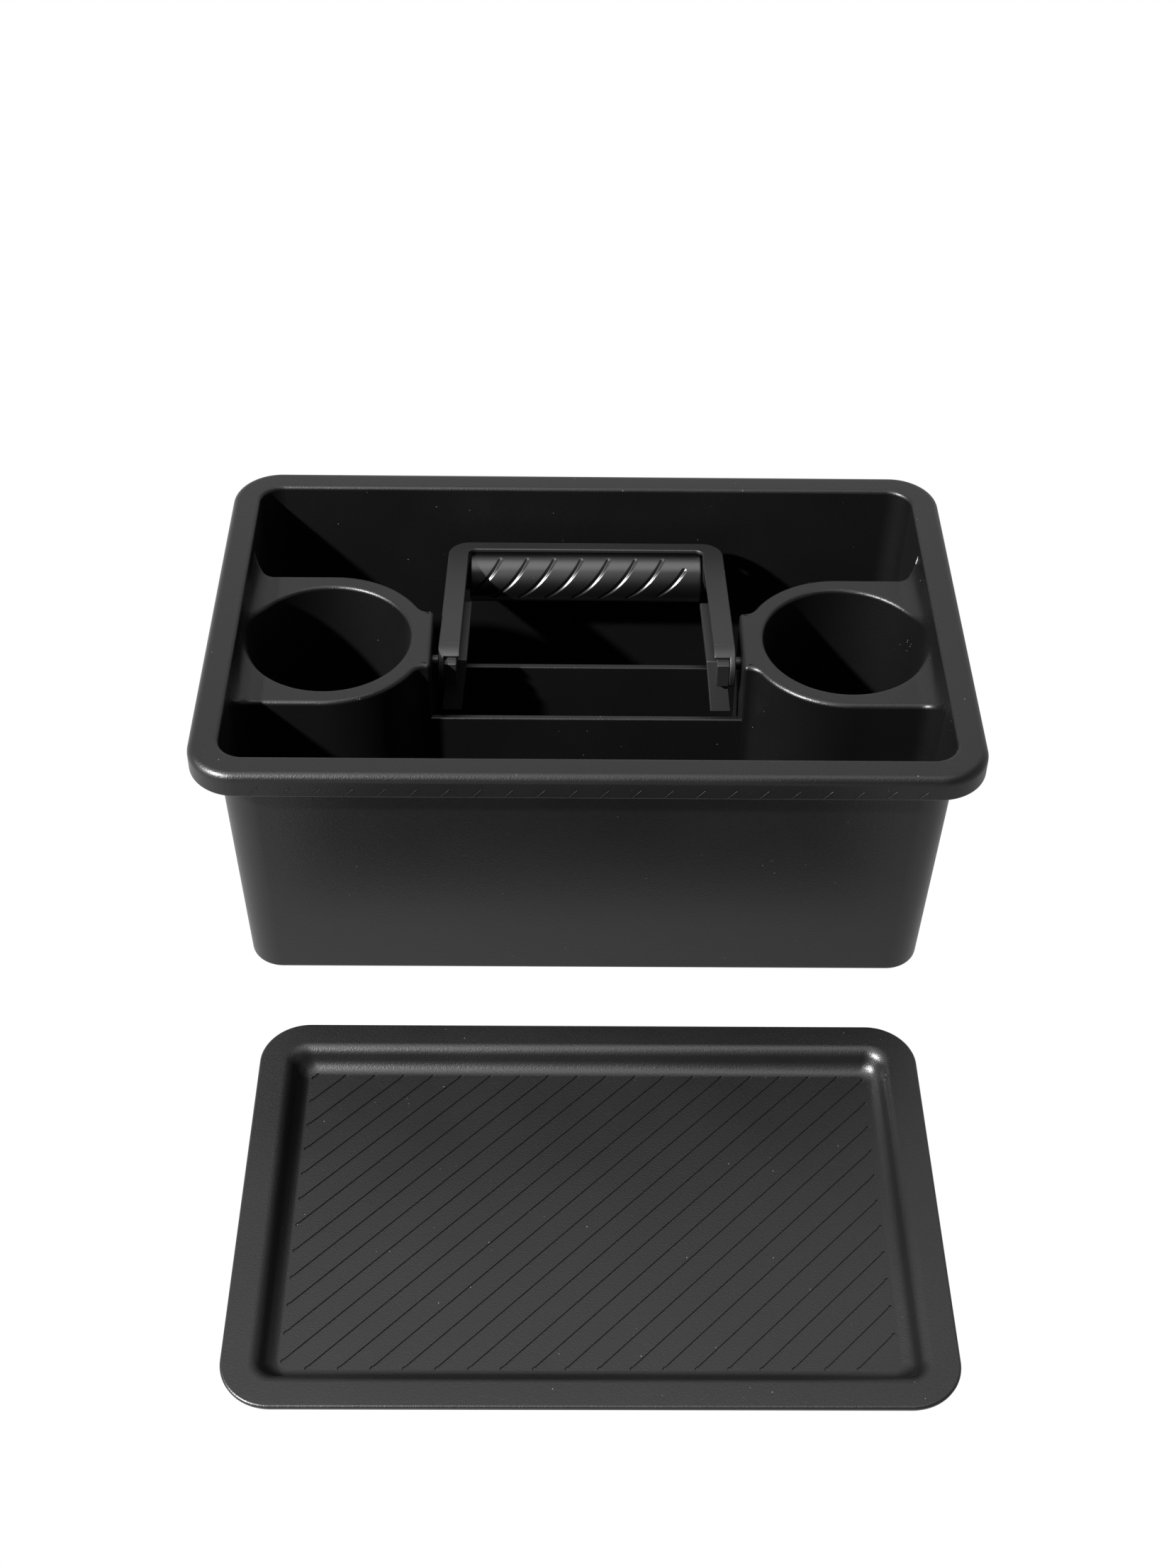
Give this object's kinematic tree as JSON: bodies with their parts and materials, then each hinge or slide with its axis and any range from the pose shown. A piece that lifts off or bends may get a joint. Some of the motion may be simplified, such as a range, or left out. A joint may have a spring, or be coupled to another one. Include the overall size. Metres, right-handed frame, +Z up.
{
  "type": "tool storage caddy",
  "caption": "Open-topped carry caddy with round cup towers beside a centre pocket, a fold-down handle with a grip sleeve, and a shallow lift-out tray.",
  "frame": {"origin": "centre of the tub's underside, on the surface it stands on", "axes": "+X to the right along the rim's long side, +Y towards the back, where the folded handle lies, +Z up"},
  "size_m": [0.4, 0.5185, 0.158],
  "materials": {
    "tub_plastic": "fine textured black moulding",
    "handle_plastic": "smooth satin black moulding",
    "grip_plastic": "satin black, with slanted grooves",
    "pin_plastic": "smooth satin black",
    "rod_plastic": "smooth, hidden inside the grip",
    "tray_plastic": "fine textured black moulding"
  },
  "bodies": {
    "caddy": {"tub": "tub_plastic", "left_pivot_pin": "pin_plastic", "right_pivot_pin": "pin_plastic"},
    "handle": {"handle_frame": "handle_plastic", "left_arm": "handle_plastic", "right_arm": "handle_plastic", "grip_rod": "rod_plastic", "grip_sleeve": "grip_plastic"},
    "tray": {"tray": "tray_plastic"}
  },
  "joints": [
    {"name": "handle_fold", "type": "hinge", "parent": "caddy", "child": "handle", "pos_m": [0, 0, 0.1247], "axis": [1, 0, 0], "range_deg": [0, 94]},
    {"name": "tray_lift", "type": "slide", "parent": "caddy", "child": "tray", "axis": [0, 0, 1], "range_m": [0, 0.3]}
  ]
}
